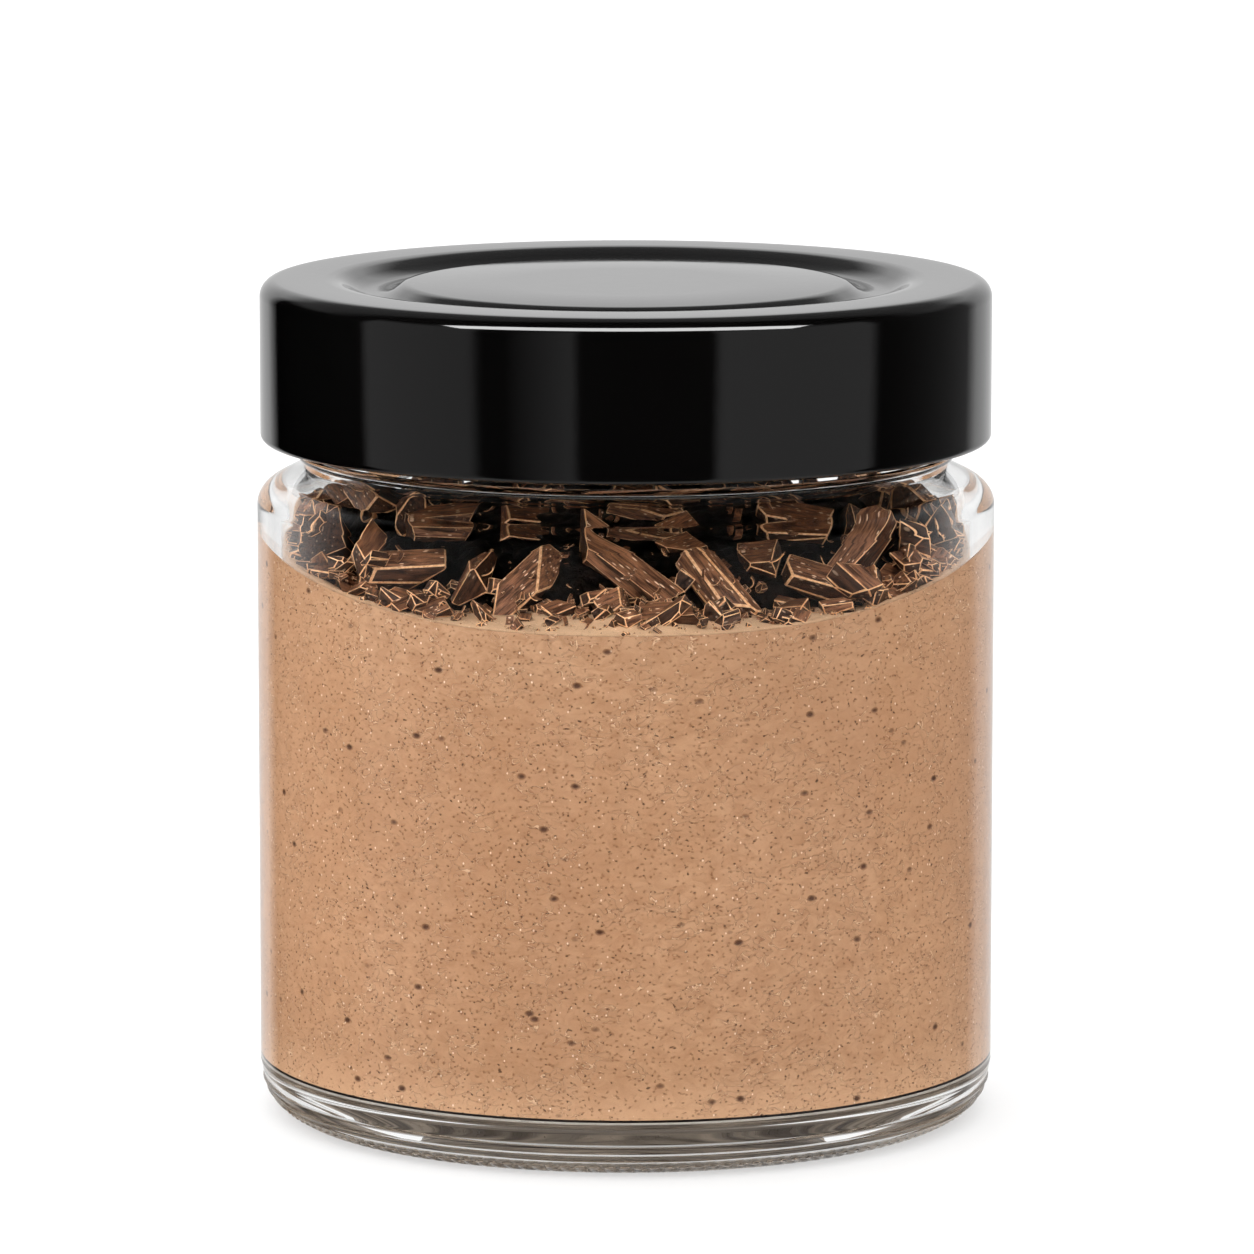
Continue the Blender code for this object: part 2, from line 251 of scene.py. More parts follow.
def dress(piece, material, slot, *nodes):
    """Gives a piece its only material and the body it rides on, and hides the nodes it stands for; slot is
    not used.
    """
    piece.data.materials.clear()
    piece.data.materials.append(material)
    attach(piece, "root")
    if nodes:
        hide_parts(*nodes)


clear = Recipe("clear_flint_glass")
clear.set(Transmission_Weight=1.0, IOR=1.5, Roughness=0.0, Specular_Tint=(0.25, 0.25, 0.25, 1))
swirl = clear.noise(clear.place((1, 1, 2.2)), 0.045, detail=1.0)
level = clear.node("ShaderNodeSeparateXYZ")
clear.link(clear.place(), level.inputs["Vector"])

# Painted shade: the glass is painted darker in bands at the bearing ring and in the grooves between the
# pressed
# rings: (height, half the width, how dark), in millimetres.
PAINTED_SHADE_RINGS = ((0.35, 0.4, 0.45), (1.95, 0.07, 0.5), (3.05, 0.1, 0.85))
painted_groove_shade = 0.0
for middle, half, dark_share in PAINTED_SHADE_RINGS:
    away = clear.math("ABSOLUTE", clear.math("SUBTRACT", level.outputs["Z"], middle), 0.0)
    painted_groove_shade = clear.math("MAXIMUM", clear.spread(away, half * 0.6, half, dark_share, 0.0), painted_groove_shade)
# The clear tint turns dark brown in these bands: painted shade.
glass_tint_with_painted_shade = clear.mix(painted_groove_shade, (0.985, 0.99, 0.987), (0.12, 0.09, 0.07))
jar_glass = clear.finish(glass_tint_with_painted_shade, normal=clear.bump(swirl, 0.10))
dress(jar, jar_glass, "clear_glass", "jar")

# The mousse. Real piece: whipped light brown chocolate mousse, level in front and risen against the glass
# at both sides, full of fine pits and a few larger bubbles that lie flat against the glass. It reaches
# just into the wall, so no air shows between.
mousse_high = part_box("mousse")[1]
INTO_GLASS = 0.15
SIDE_RISE = 4.5
EDGE_RISE = 1.0
MOUSSE_TOP = mousse_high.z / MM - SIDE_RISE - EDGE_RISE
mousse_radius = INNER + INTO_GLASS
mousse_floor = FLOOR_EDGE - INTO_GLASS / 2
corner_radius = mousse_radius - FLOOR_CORNER
corner_top = mousse_floor + FLOOR_CORNER
side = arc((corner_radius, corner_top), (FLOOR_CORNER, FLOOR_CORNER), -90, 0, 8)
surface = [(mousse_radius, MOUSSE_TOP - below) for below in (1.0, 0.55, 0.3, 0.12)]
surface += [(mousse_radius - 0.35, MOUSSE_TOP)]
surface += [(mousse_radius - 1.0 - ring, MOUSSE_TOP) for ring in range(33)]
mousse_outline = [(0.0, FLOOR_MIDDLE - 0.1)] + side + surface + [(0.0, MOUSSE_TOP)]
MOUSSE_SIDES = 192
mousse = turned("mousse_body", mousse_outline, MOUSSE_SIDES)
FRONT_DOME = 1.1
RISE_START = 28.5
UNEVEN = 0.3
UNEVEN_WIDTH = 5.0


def mousse_height(right, back):
    """How high the mousse stands at a place: spooned up the glass at the sides, falling to it in front."""
    reach = math.hypot(right, back)
    aside = abs(right) / reach if reach else 0.0
    share = min(1.0, max(0.0, (reach - RISE_START) / (INNER - RISE_START)))
    share = share * share * (3 - 2 * share)
    dome = FRONT_DOME * (1 - share) * (1 - aside)
    return MOUSSE_TOP + dome + (SIDE_RISE * aside**3 + EDGE_RISE * aside**14) * share


# Height above the level top, for the colours. UNDER marks the bottom corner, and twice that the underside.
UNDER = -50.0
crest = mousse.data.attributes.new("crest", "FLOAT", "POINT")
for point in mousse.data.vertices:
    right, back, height = (side / MM for side in point.co)
    reach = math.hypot(right, back)
    crest.data[point.index].value = height - MOUSSE_TOP
    if reach < corner_radius + 0.01 and height < FLOOR_MIDDLE:
        crest.data[point.index].value = 2 * UNDER
    elif height < corner_top:
        crest.data[point.index].value = UNDER * (1 + (corner_top - height) / FLOOR_CORNER)
    if height > MOUSSE_TOP - 1.2:
        uneven = noise.noise(point.co / (UNEVEN_WIDTH * MM)) if reach < INNER - 0.6 else 0.0
        point.co.z += (mousse_height(right, back) - MOUSSE_TOP + UNEVEN * uneven) * MM

airy = Recipe("whipped_chocolate_mousse")
airy.set(Specular_IOR_Level=0.35, Subsurface_Weight=0.0)
plain = airy.place()
wander = airy.noise(plain, 0.035, detail=2.0)
flow = airy.noise(airy.place((1, 1, 1.6)), 0.6, detail=6.0, roughness=0.65, distortion=0.8)
colour = airy.mix(airy.spread(wander, 0.35, 0.65), srgb(172, 130, 95), srgb(184, 143, 108))
colour = airy.mix(airy.spread(flow, 0.38, 0.68), colour, srgb(160, 117, 82))
rise = airy.node("ShaderNodeSeparateXYZ")
airy.link(plain, rise.inputs["Vector"])
colour = airy.mix(airy.spread(rise.outputs["Z"], 6.0, 10.0, 0.5, 0.0), colour, srgb(206, 164, 128))
outward = airy.math("ABSOLUTE", rise.outputs["X"], 0.0)
colour = airy.mix(airy.spread(outward, 18.0, 33.0, 0.0, 0.25), colour, srgb(204, 162, 127))
bend = airy.node("ShaderNodeTexNoise")
bend.inputs["Scale"].default_value = 0.8
airy.link(plain, bend.inputs["Vector"])
bent = airy.node("ShaderNodeVectorMath", operation="ADD")
airy.link(airy.place((0.95, 0.95, 1.25)), bent.inputs[0])
airy.link(bend.outputs["Color"], bent.inputs[1])
pits = airy.spread(airy.cells(bent.outputs[0], 1.25).outputs["Distance"], 0.08, 0.15, 0.8, 0.0)
pits_fine = airy.spread(airy.cells(bent.outputs[0], 1.9).outputs["Distance"], 0.14, 0.26, 0.38, 0.0)
flat_cells = airy.cells(airy.place((0.85, 0.85, 1.3)), 0.26)
holes = airy.spread(flat_cells.outputs["Distance"], 0.05, 0.12, 0.95, 0.0)
upright_cells = airy.cells(airy.place((1.3, 1.3, 1.0)), 0.8)
light_flecks = airy.spread(upright_cells.outputs["Distance"], 0.07, 0.11, 0.9, 0.0)
folds = airy.noise(airy.place((1, 1, 1.5)), 0.75, detail=1.5, distortion=0.6)
patches = airy.spread(airy.noise(plain, 0.3, detail=2.0), 0.46, 0.56)
folds_light = airy.math("ABSOLUTE", airy.math("SUBTRACT", folds, 0.5), 0.0)
folds_dark = airy.math("ABSOLUTE", airy.math("SUBTRACT", folds, 0.525), 0.0)
threads = airy.math("MULTIPLY", airy.spread(folds_light, 0.005, 0.015, 0.65, 0.0), patches)
painted_crease_shade = airy.math("MULTIPLY", airy.spread(folds_dark, 0.004, 0.014, 0.6, 0.0), patches)
# Painted shade: the creases, pits and bubbles are painted dark, the shade in these hollows.
colour = airy.mix(painted_crease_shade, colour, srgb(126, 80, 48))
colour = airy.mix(pits_fine, colour, srgb(116, 64, 30))
colour = airy.mix(pits, colour, srgb(62, 24, 4))
colour = airy.mix(threads, colour, srgb(230, 194, 160))
colour = airy.mix(light_flecks, colour, srgb(240, 214, 190))
colour = airy.mix(holes, colour, srgb(74, 36, 12))

# Painted light and shade: the top is painted paler, a painted highlight where light falls from above. The
# bottom corner is painted dark, a painted shade line, with a pale painted highlight line under it, and the
# underside is painted greyer with streaks, painted shade and reflections.
crest_height = airy.node("ShaderNodeAttribute", attribute_name="crest").outputs["Fac"]
colour = airy.mix(airy.spread(crest_height, -0.1, 0.0, 0.0, 0.6), colour, srgb(236, 196, 158))
# The underside is painted greyer with streaks, painted shade and reflections, with a pale painted highlight
# line at the corner.
painted_reflection_streaks = airy.noise(airy.place((0.4, 1.6, 0)), 0.22, detail=3.0, distortion=0.8)
painted_underside_light_shade = airy.mix(airy.spread(painted_reflection_streaks, 0.4, 0.6), srgb(104, 90, 77), srgb(214, 196, 176))
painted_underside_light_shade = airy.mix(airy.spread(crest_height, 1.9 * UNDER, 1.8 * UNDER), painted_underside_light_shade, srgb(186, 180, 172))
below_line = airy.spread(crest_height, 1.46 * UNDER, 1.42 * UNDER)
colour = airy.mix(below_line, painted_underside_light_shade, colour)
# The bottom corner is painted dark: a painted shade line.
above_line = airy.spread(crest_height, 1.05 * UNDER, 1.02 * UNDER, 1.0, 0.0)
painted_corner_shade = airy.math("MULTIPLY", below_line, above_line)
colour = airy.mix(painted_corner_shade, colour, srgb(24, 14, 9))
hollow = airy.math("MAXIMUM", airy.math("MAXIMUM", pits, holes), pits_fine)
relief = airy.bump(hollow, -0.16, below=airy.bump(threads, 0.1, below=airy.bump(flow, 0.1)))
dress(mousse, airy.finish(colour, airy.spread(flow, 0.3, 0.7, 0.5, 0.62), relief), "mousse", "mousse")

# The broken chocolate. Real pieces: a bar of dark chocolate chopped into slivers, heaped on the mousse.
# The sides are painted darker and the faces turned up paler, painted shade and painted light from above. The
# thin broken edges are painted bright, a painted highlight with tan dust. A near-black core lies under them,
# painted shade, and TAPER keeps what lies high inside the shoulder.
HEAP_TOP = 66.4
EDGE = 0.16
# Face marks: bevel edges for the painted edge highlight, faces turned up for the paler painted light.
EDGE_DUST_AND_HIGHLIGHT = 0.5
PAINTED_LIT_FACE = 1.0
GLASS_GAP = 0.35
TAPER_START = 60.4
TAPER = 1.35


def room_radius(height):
    """How far from the axis a shard may reach at this height, in millimetres, inside wall and shoulder."""
    return INNER - GLASS_GAP - max(0.0, height - TAPER_START) * TAPER


def broken_block(name, end_cuts, side_cuts, seed):
    """A block one unit long, its ends and sides broken off along skewed planes."""
    draw = random.Random(seed)
    bpy.ops.object.select_all(action="DESELECT")
    bpy.ops.mesh.primitive_cube_add(size=1.0)
    block = bpy.context.object
    block.name = name
    bpy.ops.object.mode_set(mode="EDIT")
    for cut in range(end_cuts + side_cuts):
        if cut < end_cuts:
            away = Vector((1 if cut % 2 else -1, draw.uniform(-0.6, 0.6), draw.uniform(-0.5, 0.4)))
            reach = draw.uniform(0.34, 0.44)
        else:
            away = Vector((draw.uniform(-0.35, 0.35), draw.choice((-1, 1)), draw.uniform(-1, 0.9)))
            reach = draw.uniform(0.38, 0.5)
        away.normalize()
        bpy.ops.mesh.select_all(action="SELECT")
        bpy.ops.mesh.bisect(plane_co=away * reach, plane_no=away, use_fill=True, clear_outer=True)
    bpy.ops.object.mode_set(mode="OBJECT")
    return block


def roughen(block, size, splits, jitter, seed, worn=EDGE):
    """Brings a block to its size in millimetres, wears its sharp edges and roughens its faces."""
    block.data.transform(Matrix.Diagonal((*[side * MM for side in size], 1)))
    bpy.ops.object.mode_set(mode="EDIT")
    bpy.ops.mesh.select_all(action="SELECT")
    bpy.ops.mesh.remove_doubles(threshold=0.1 * MM)
    bpy.ops.mesh.select_all(action="DESELECT")
    bpy.ops.mesh.edges_select_sharp(sharpness=math.radians(20))
    block.data.materials.append(None)
    block.data.materials.append(None)
    bpy.ops.mesh.bevel(offset=worn * MM, segments=1, material=1, clamp_overlap=True)
    bpy.ops.mesh.select_all(action="SELECT")
    bpy.ops.mesh.quads_convert_to_tris()
    if splits:
        bpy.ops.mesh.subdivide(number_cuts=splits)
    bpy.ops.transform.vertex_random(offset=jitter * MM, seed=seed)
    bpy.ops.object.mode_set(mode="OBJECT")
    kind = block.data.attributes.new("kind", "FLOAT", "FACE")
    for face in block.data.polygons:
        # Bevel faces are marked for the bright edge colour, a painted highlight with tan dust; faces turned
        # up for the paler colour, painted light from above.
        if face.material_index == 1:
            kind.data[face.index].value = EDGE_DUST_AND_HIGHLIGHT
        elif face.normal.z > 0.55:
            kind.data[face.index].value = PAINTED_LIT_FACE
        face.material_index = 0
    grain = block.data.attributes.new("grain", "FLOAT_VECTOR", "POINT")
    for point in block.data.vertices:
        grain.data[point.index].vector = point.co
    bpy.ops.object.shade_smooth_by_angle(angle=math.radians(28))
    return block


def copied(block, stretch, turn, place, draw):
    """A copy with its own mesh, stretched, turned and put in place; its grain starts somewhere else."""
    twin = bpy.data.objects.new(block.name, block.data.copy())
    bpy.context.scene.collection.objects.link(twin)
    twin.data.transform(Matrix.Translation(place) @ turn.to_4x4() @ Matrix.Diagonal((*stretch, 1)))
    shift = Vector([draw.uniform(-900, 900) * MM for side in range(3)])
    for row in twin.data.attributes["grain"].data:
        row.vector = Vector(row.vector) + shift
    return twin


def joined(name, things):
    """Joins things into one piece."""
    bpy.ops.object.select_all(action="DESELECT")
    for thing in things:
        thing.select_set(True)
    bpy.context.view_layer.objects.active = things[0]
    bpy.ops.object.join()
    things[0].name = things[0].data.name = name
    return things[0]


LONG = (9.0, 4.2, 3.0)
CHUNK = (5.4, 4.4, 2.8)
long_blocks = [roughen(broken_block("long", 3, 2, 10 + n), LONG, 2, 0.045, n) for n in range(9)]
chunks = [roughen(broken_block("chunk", 4, 3, 40 + n), CHUNK, 2, 0.06, n) for n in range(7)]

# The shards that show from the front, left to right: length, width and thickness, then place
# (right, back from the axis, up from the mousse), then heading, rise and roll in degrees.
FRONT_SHARDS = (
    ((6.6, 3.4, 2.4), (-29.6, -12.0, 2.6), 64, 10, 30),
    ((6.4, 3.6, 2.2), (-27.2, -18.6, 1.4), 34, -24, 50),
    ((8.6, 3.2, 3.0), (-21.8, -19.4, 3.9), 2, 2, 34),
    ((4.0, 2.8, 2.2), (-18.6, -25.6, 1.0), 20, 22, 38),
    ((6.0, 3.6, 2.4), (-14.6, -21.0, 3.2), -24, 62, 30),
    ((9.6, 3.4, 2.8), (-9.6, -22.6, 2.9), 26, 38, 44),
    ((13.4, 3.4, 2.8), (-0.6, -21.8, 4.8), -30, -32, 40),
    ((4.4, 3.2, 2.4), (-1.4, -27.2, 1.1), 14, 24, 40),
    ((6.0, 3.0, 2.4), (4.4, -29.6, 1.1), -4, 6, 30),
    ((9.6, 3.8, 2.8), (8.8, -23.6, 3.1), -44, -40, 40),
    ((4.8, 4.0, 2.8), (12.8, -19.0, 4.9), -10, 6, 28),
    ((9.2, 3.0, 3.0), (18.6, -20.8, 2.9), -20, -14, 40),
    ((8.2, 3.0, 2.8), (22.5, -17.0, 5.2), 36, 44, 40),
    ((4.8, 3.2, 2.2), (25.4, -20.6, 1.2), 40, -10, 36),
    ((8.0, 3.0, 2.4), (28.4, -14.2, 3.4), 62, -10, 40),
    ((8.4, 3.8, 2.0), (-18.6, -12.4, 7.2), -8, 6, 20),
    ((6.6, 3.6, 2.0), (-9.6, -13.0, 7.2), 14, -8, 22),
    ((4.6, 3.6, 2.6), (5.4, -18.0, 6.2), 30, 20, 32),
    ((7.8, 3.2, 2.2), (2.0, -13.0, 7.8), -16, -14, 28),
    ((8.2, 3.8, 2.2), (16.4, -13.0, 7.2), -6, -10, 26),
)
SCATTERED_SHARDS = 92
SCATTER_REACH = 32.5
GOLDEN_ANGLE = 137.508
FRONT_REACH = 11.0
PULL_IN = 1.15
SUNK = 0.35
BACK_ROWS = ((34.0, 2.0), (33.0, 5.2))
BACK_STEPS = 17


def scattered_shards(seed):
    """The rest of the heap: a sunflower spiral behind the front shards, and rows along the back wall."""
    draw = random.Random(seed)
    found = []
    for number in range(SCATTERED_SHARDS):
        reach = SCATTER_REACH * math.sqrt((number + 0.5) / SCATTERED_SHARDS)
        angle = math.radians(number * GOLDEN_ANGLE)
        right, back = reach * math.cos(angle), reach * math.sin(angle)
        size = (draw.uniform(6.0, 11.5), draw.uniform(3.4, 5.0), draw.uniform(2.2, 3.4))
        up = draw.uniform(7.0, 11.0) - 0.12 * max(0.0, reach - 8.0)
        heading = math.degrees(angle) + 90 + draw.uniform(-50, 50)
        turns = (heading, draw.uniform(-42, 42), draw.uniform(10, 60))
        if back > -FRONT_REACH:
            found.append((size, (right, back, up), *turns))
    for reach, up in BACK_ROWS:
        for step in range(BACK_STEPS):
            around = -12 + 204 * (step + draw.uniform(-0.3, 0.3)) / (BACK_STEPS - 1)
            place = (reach * math.cos(math.radians(around)), reach * math.sin(math.radians(around)))
            size = (draw.uniform(5.0, 9.0), draw.uniform(3.2, 4.6), draw.uniform(2.0, 3.0))
            turns = (around + 90 + draw.uniform(-60, 60), draw.uniform(-50, 50), draw.uniform(10, 60))
            found.append((size, (*place, up + draw.uniform(-0.9, 0.9)), *turns))
    return found


def facing(heading, rise, roll):
    """The turn of a shard whose length points at heading, lifted by rise and rolled, in degrees."""
    return Euler((math.radians(roll), math.radians(-rise), math.radians(heading)), "XYZ").to_matrix()


def made_to_fit(piece, place):
    """Moves a piece down under the heap's top and inwards off the glass, and flattens it onto the mousse."""
    points = piece.data.vertices
    drop = max(0.0, max(point.co.z for point in points) - HEAP_TOP * MM)
    outward = Vector((place.x, place.y, 0)).normalized()
    piece.data.transform(Matrix.Translation((0, 0, -drop)))
    excess = max(point.co.xy.length - room_radius(point.co.z / MM) * MM for point in points)
    if excess > 0:
        piece.data.transform(Matrix.Translation(-outward * excess * PULL_IN))
    for point in points:
        low = mousse_height(point.co.x / MM, point.co.y / MM) - SUNK
        point.co.z = max(point.co.z, low * MM)
    return piece


shards = []
shard_draw = random.Random(11)
LONGER = 1.04
all_shards = list(FRONT_SHARDS) + scattered_shards(seed=7)
for number, (size, spot, heading, rise, roll) in enumerate(all_shards):
    family, usual = (long_blocks, LONG) if size[0] > 6.5 else (chunks, CHUNK)
    block = family[number % len(family)]
    stretch = [side / usual_side * LONGER for side, usual_side in zip(size, usual)]
    place = Vector((spot[0], spot[1], MOUSSE_TOP + spot[2])) * MM
    shards.append(made_to_fit(copied(block, stretch, facing(heading, rise, roll), place, shard_draw), place))

# The core of the heap: a near-black mass, painted shade, standing for crumbled chocolate in the dark between
# the shards. Half a ball, fuller at the back, with lumps all over it.
CORE_ACROSS = 33.0
CORE_RADIUS = 28.5
CORE_HEIGHT = 10.6
CORE_BACK = 4.0
SIDE_FULLER = 0.4
BACK_RISE = 0.22
BACK_START = -4.0
BACK_SLOPE = 14.0
LUMP = 2.3
LUMP_OUT = 0.9
LUMP_IN = 1.7
bpy.ops.object.select_all(action="DESELECT")
bpy.ops.mesh.primitive_ico_sphere_add(subdivisions=6, radius=1.0)
core = bpy.context.object
core.data.transform(Matrix.Diagonal((CORE_ACROSS * MM, CORE_RADIUS * MM, CORE_HEIGHT * MM, 1)))
core.data.transform(Matrix.Translation((0, CORE_BACK * MM, (MOUSSE_TOP - 0.3) * MM)))
bpy.ops.object.mode_set(mode="EDIT")
bpy.ops.mesh.select_all(action="SELECT")
bpy.ops.mesh.bisect(
    plane_co=(0, 0, (MOUSSE_TOP - 0.2) * MM), plane_no=(0, 0, -1), use_fill=True, clear_outer=True
)
bpy.ops.object.mode_set(mode="OBJECT")
for point in core.data.vertices:
    above = (point.co.z / MM - MOUSSE_TOP) / CORE_HEIGHT
    if above > 0:
        fuller = above ** (1 - SIDE_FULLER * abs(point.co.x / MM) / CORE_ACROSS)
        fuller *= 1 + BACK_RISE * min(1.0, max(0.0, (point.co.y / MM - BACK_START) / BACK_SLOPE))
        lump = noise.voronoi(point.co / (LUMP * MM))[0][0]
        lift = fuller * CORE_HEIGHT + (LUMP_OUT - LUMP_IN * lump) * min(1.0, above * CORE_HEIGHT)
        point.co.z = (MOUSSE_TOP + max(lift, 0.1)) * MM
core.name = core.data.name = "chocolate_core"

heap = joined("chocolate_shards_cut", shards)

# Chips and crumbs fall onto what lies there already and stay where they land. Most lie low, where the
# mousse is near (OPEN_HEAP is how far above it still counts), and a few higher on the heap.
bpy.context.view_layer.update()
graph = bpy.context.evaluated_depsgraph_get()
grounds = [BVHTree.FromObject(thing, graph) for thing in (heap, core, mousse)]


def landing(right, back):
    """Where something dropped at this place comes to lie, in metres."""
    start = Vector((right * MM, back * MM, (HEAP_TOP + 1.0) * MM))
    hits = [ground.ray_cast(start, Vector((0, 0, -1))) for ground in grounds]
    return max((hit[0] for hit in hits if hit[0] is not None), key=lambda spot: spot.z)


CHIP = (2.4, 1.8, 1.1)
CHIP_COUNT = 600
OPEN_HEAP = 2.6
chip_blocks = [roughen(broken_block("chip", 3, 3, 70 + n), CHIP, 0, 0.05, n, 0.055) for n in range(6)]
chips = []
chip_draw = random.Random(23)
for number in range(CHIP_COUNT):
    angle = chip_draw.uniform(0, math.tau)
    reach = 33.0 * math.sqrt(chip_draw.uniform(0.18, 1.0))
    if number % 3:
        angle = math.radians(chip_draw.gauss(-90, 60))
        reach = chip_draw.uniform(20.0, 33.8)
    if number % 5 == 0:
        angle = math.radians(chip_draw.gauss(90, 55))
        reach = chip_draw.uniform(26.0, 33.8)
    at_side = number % 4 == 0
    if at_side:
        angle = math.radians(chip_draw.choice((0, 180)) + chip_draw.gauss(0, 26))
        reach = chip_draw.uniform(31.5, 34.2)
    place = landing(reach * math.cos(angle), reach * math.sin(angle))
    on_mousse = place.z / MM < mousse_height(place.x / MM, place.y / MM) + OPEN_HEAP
    if not on_mousse and not at_side and number % 5:
        continue
    share = chip_draw.choice((0.9, 1.2, 1.6) if at_side else (0.35, 0.5, 0.5, 0.7, 0.9, 1.2))
    stretch = [share * chip_draw.uniform(0.75, 1.3) for side in range(3)]
    turn = facing(chip_draw.uniform(0, 360), chip_draw.uniform(-35, 35), chip_draw.uniform(-50, 50))
    place = place + Vector((0, 0, 0.35 * share * MM))
    if place.z < (HEAP_TOP - 1.0) * MM:
        chips.append(made_to_fit(copied(chip_blocks[number % 6], stretch, turn, place, chip_draw), place))
chips_piece = joined("chocolate_chips", chips)

CRUMB = (0.5, 0.4, 0.3)
CRUMB_COUNT = 420
crumb_blocks = [roughen(broken_block("crumb", 2, 2, 90 + n), CRUMB, 0, 0.02, n, 0.04) for n in range(4)]
crumbs = []
for number in range(CRUMB_COUNT):
    angle = math.radians(chip_draw.gauss(90 if number % 4 == 0 else -90, 66))
    reach = 34.3 - abs(chip_draw.gauss(0, 4.5))
    place = landing(reach * math.cos(angle), reach * math.sin(angle))
    on_mousse = place.z / MM <= mousse_height(place.x / MM, place.y / MM) + OPEN_HEAP
    if not on_mousse and number % 4:
        continue
    share = chip_draw.choice((0.4, 0.5, 0.7, 1.0, 1.5))
    turn = facing(chip_draw.uniform(0, 360), chip_draw.uniform(-60, 60), chip_draw.uniform(-60, 60))
    if place.xy.length < room_radius(place.z / MM) * MM:
        crumbs.append(copied(crumb_blocks[number % 4], [share] * 3, turn, place, chip_draw))
crumbs_piece = joined("chocolate_crumbs", crumbs)

# Thin curled shavings: a small flat face swept round an arc. (curl radius, sweep in degrees), in millimetres.
CURLS = ((0.7, 120), (1.1, 90), (1.8, 60), (3.0, 42))
CURL_THICK = 0.1
CURL_WIDE = 0.45
SHAVING_COUNT = 240
curl_blocks = []
for radius, sweep in CURLS:
    bpy.ops.object.select_all(action="DESELECT")
    bpy.ops.mesh.primitive_plane_add(size=MM)
    strip = bpy.context.object
    strip.data.transform(Matrix.Diagonal((CURL_THICK, CURL_WIDE, 1, 1)))
    bpy.ops.object.mode_set(mode="EDIT")
    bpy.ops.mesh.select_all(action="SELECT")
    centre = (radius * MM, 0, 0)
    bpy.ops.mesh.spin(steps=10, angle=math.radians(sweep), center=centre, axis=(0, 1, 0))
    bpy.ops.mesh.select_all(action="SELECT")
    bpy.ops.mesh.normals_make_consistent(inside=False)
    bpy.ops.object.mode_set(mode="OBJECT")
    # Narrow sides are marked for the bright edge colour, painted highlight with dust; broad faces for the
    # paler painted light.
    kind = strip.data.attributes.new("kind", "FLOAT", "FACE")
    for face in strip.data.polygons:
        kind.data[face.index].value = EDGE_DUST_AND_HIGHLIGHT if abs(face.normal.y) > 0.5 else PAINTED_LIT_FACE
    grain = strip.data.attributes.new("grain", "FLOAT_VECTOR", "POINT")
    for point in strip.data.vertices:
        grain.data[point.index].vector = point.co
    curl_blocks.append(strip)
shavings = []
for number in range(SHAVING_COUNT):
    angle = math.radians(chip_draw.gauss(-90, 62))
    reach = 34.0 * math.sqrt(chip_draw.uniform(0.1, 0.95))
    place = landing(reach * math.cos(angle), reach * math.sin(angle))
    turn = facing(chip_draw.uniform(0, 360), chip_draw.uniform(-40, 130), chip_draw.uniform(-80, 80))
    stretch = [chip_draw.uniform(0.5, 1.1), chip_draw.uniform(0.4, 1.6), chip_draw.uniform(0.5, 1.1)]
    if place.xy.length < (room_radius(place.z / MM) - 1.2) * MM:
        shavings.append(copied(curl_blocks[number % 4], stretch, turn, place, chip_draw))
shavings_piece = joined("chocolate_shavings", shavings)

for spare in long_blocks + chunks + chip_blocks + crumb_blocks + curl_blocks:
    bpy.data.objects.remove(spare)

dark = Recipe("chopped_dark_chocolate")
dark.set(Specular_IOR_Level=0.5)
along = dark.place((0.3, 1.9, 1.9), attribute="grain")
streaks = dark.noise(along, 1.6, detail=5.0, roughness=0.65, distortion=0.15)
mottle = dark.noise(dark.place(attribute="grain"), 0.02, detail=0.0)
grit = dark.noise(dark.place(attribute="grain"), 3.0, detail=4.0, roughness=0.7)
kind = dark.node("ShaderNodeAttribute", attribute_name="kind").outputs["Fac"]
# Faces turned up are painted paler, painted light from above; the sides darker, painted shade.
is_painted_lit = dark.spread(kind, 0.74, 0.76)
is_edge_dust_and_highlight = dark.math("MULTIPLY", dark.spread(kind, 0.24, 0.26), dark.math("SUBTRACT", 1.0, is_painted_lit))
painted_shaded_side_colour = dark.mix(dark.spread(streaks, 0.4, 0.75), srgb(38, 21, 13), srgb(108, 68, 45))
painted_lit_colour = dark.mix(dark.spread(streaks, 0.4, 0.62), srgb(72, 42, 27), srgb(160, 106, 72))
shard_colour = dark.mix(is_painted_lit, painted_shaded_side_colour, painted_lit_colour)
shard_colour = dark.mix(dark.spread(mottle, 0.3, 0.7, 0.0, 0.35), shard_colour, srgb(58, 34, 23))
# The broken edges are painted bright: a painted highlight with tan dust.
edge_highlight_and_dust = dark.mix(dark.spread(grit, 0.35, 0.6), srgb(196, 134, 86), srgb(240, 192, 144))
shard_colour = dark.mix(is_edge_dust_and_highlight, shard_colour, edge_highlight_and_dust)
scratches = dark.cells(dark.place((0.8, 2.2, 2.2), attribute="grain"), 1.0)
nicks = dark.spread(scratches.outputs["Distance"], 0.13, 0.22, 1.0, 0.0)
nicks = dark.math("MULTIPLY", nicks, dark.math("MAXIMUM", is_painted_lit, 0.3))
shard_colour = dark.mix(nicks, shard_colour, srgb(240, 202, 166))
shard_bump = dark.bump(streaks, 0.1, below=dark.bump(grit, 0.04))
chocolate = dark.finish(shard_colour, dark.spread(streaks, 0.3, 0.7, 0.34, 0.55), shard_bump)

dress(heap, chocolate, "dark_chocolate", "chocolate_shards")
for piece in (chips_piece, crumbs_piece, shavings_piece):
    dress(piece, chocolate, "dark_chocolate")

